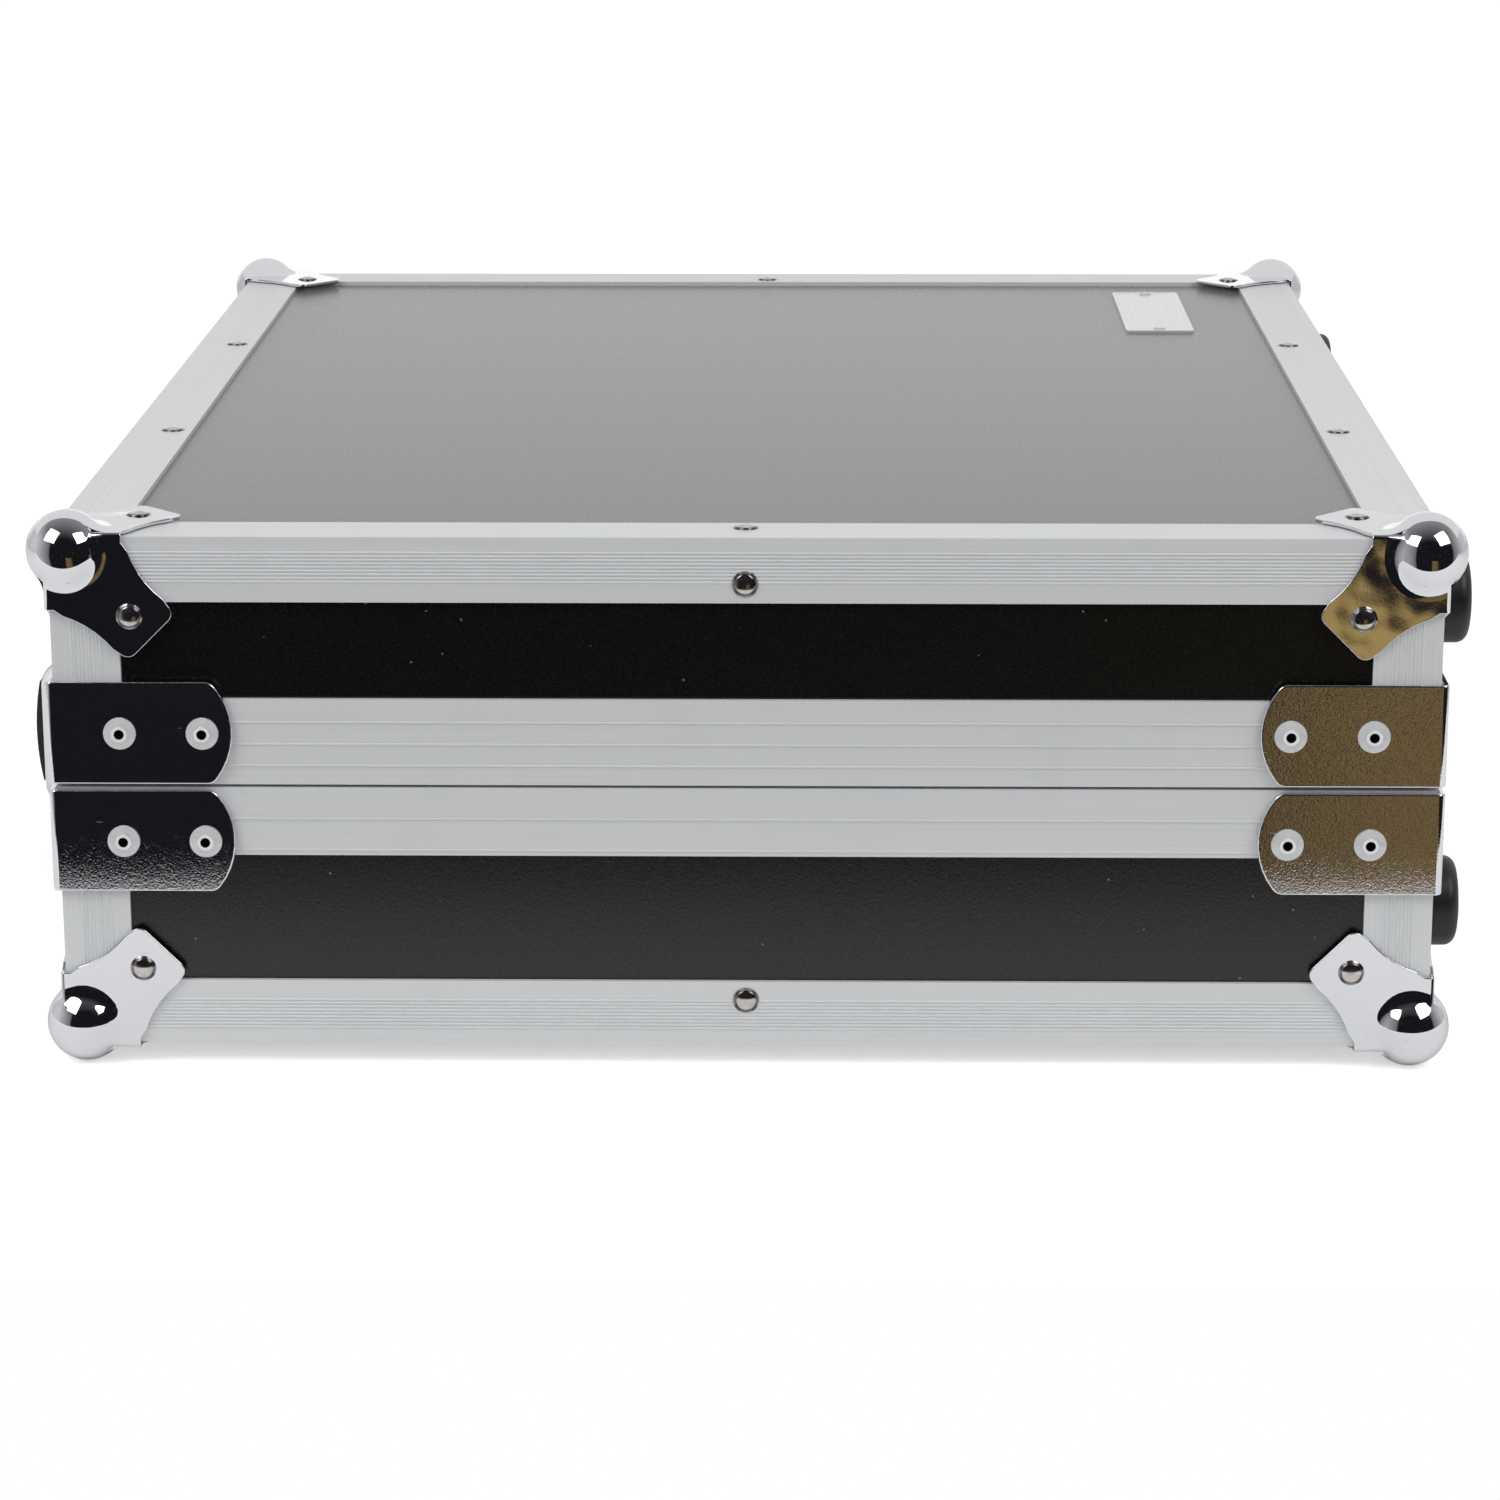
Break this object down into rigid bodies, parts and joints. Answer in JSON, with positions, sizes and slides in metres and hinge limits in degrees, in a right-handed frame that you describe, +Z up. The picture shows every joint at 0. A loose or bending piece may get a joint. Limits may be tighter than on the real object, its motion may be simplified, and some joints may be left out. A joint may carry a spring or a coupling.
{
  "type": "laptop flight case",
  "caption": "Laptop flight case: laminated ply in aluminium edging, ball corners, seam brackets, a lid on back hinges, twist latches and a swinging handle.",
  "frame": {"origin": "centre of the outline on the plane under the lower ball corners, case closed and lying flat", "axes": "+Y along the case, away from the pictured end; +Z up; the handle and latches face -X, the hinges and feet +X"},
  "size_m": [0.4608, 0.494, 0.1695],
  "materials": {
    "laminate": "black textured laminate on ply",
    "aluminium": "satin anodised",
    "plated_steel": "bright plated",
    "rubber": "black rubber",
    "foam": "dark grey foam"
  },
  "bodies": {
    "base": {"base_floor": "laminate", "base_wall_near": "laminate", "base_wall_back": "laminate", "base_wall_far": "laminate", "base_wall_front": "laminate", "base_edge_near": "aluminium", "base_edge_back": "aluminium", "base_edge_far": "aluminium", "base_edge_front": "aluminium", "base_posts": "aluminium", "base_rim_near": "aluminium", "base_rim_back": "aluminium", "base_rim_far": "aluminium", "base_rim_front": "aluminium", "base_ball_corners": "plated_steel", "base_seam_brackets": "plated_steel", "base_domed_rivets": "plated_steel", "base_blind_rivets": "aluminium", "base_feet": "rubber", "base_hinge_leaves": "plated_steel", "hinge_pins": "plated_steel", "base_foam": "foam", "latch_dish_near": "plated_steel", "latch_dish_far": "plated_steel", "latch_pivots": "plated_steel", "handle_plate": "plated_steel", "handle_pins": "plated_steel"},
    "lid": {"lid_panel": "laminate", "lid_wall_near": "laminate", "lid_wall_back": "laminate", "lid_wall_far": "laminate", "lid_wall_front": "laminate", "lid_edge_near": "aluminium", "lid_edge_back": "aluminium", "lid_edge_far": "aluminium", "lid_edge_front": "aluminium", "lid_posts": "aluminium", "lid_rim_near": "aluminium", "lid_rim_back": "aluminium", "lid_rim_far": "aluminium", "lid_rim_front": "aluminium", "lid_ball_corners": "plated_steel", "lid_seam_brackets": "plated_steel", "lid_domed_rivets": "plated_steel", "lid_blind_rivets": "aluminium", "lid_feet": "rubber", "lid_hinge_leaves": "plated_steel", "catch_dish_near": "plated_steel", "catch_dish_far": "plated_steel", "catch_studs": "plated_steel", "lid_foam": "foam"},
    "handle": {"handle_bow": "plated_steel", "handle_grip": "rubber"},
    "key_near": {"latch_key_near": "plated_steel", "latch_claw_near": "plated_steel"},
    "key_far": {"latch_key_far": "plated_steel", "latch_claw_far": "plated_steel"},
    "flap_near": {"latch_flap_near": "plated_steel"},
    "flap_far": {"latch_flap_far": "plated_steel"}
  },
  "joints": [
    {"name": "lid_hinge", "type": "hinge", "parent": "base", "child": "lid", "pos_m": [0.22115, 0, 0.08705], "axis": [0, 1, 0], "range_deg": [0, 100]},
    {"name": "handle_swing", "type": "hinge", "parent": "base", "child": "handle", "pos_m": [-0.20435, 0, 0.0725], "axis": [0, 1, 0], "range_deg": [0, 90]},
    {"name": "latch_key_near", "type": "hinge", "parent": "base", "child": "key_near", "pos_m": [-0.19135, -0.12849, 0.06904], "axis": [-1, 0, 0], "range_deg": [0, 180]},
    {"name": "latch_flap_near", "type": "hinge", "parent": "key_near", "child": "flap_near", "pos_m": [-0.19305, -0.12849, 0.06105], "axis": [0, 1, 0], "range_deg": [0, 90]},
    {"name": "latch_key_far", "type": "hinge", "parent": "base", "child": "key_far", "pos_m": [-0.19135, 0.12849, 0.06904], "axis": [-1, 0, 0], "range_deg": [0, 180]},
    {"name": "latch_flap_far", "type": "hinge", "parent": "key_far", "child": "flap_far", "pos_m": [-0.19305, 0.12849, 0.06105], "axis": [0, 1, 0], "range_deg": [0, 90]}
  ]
}
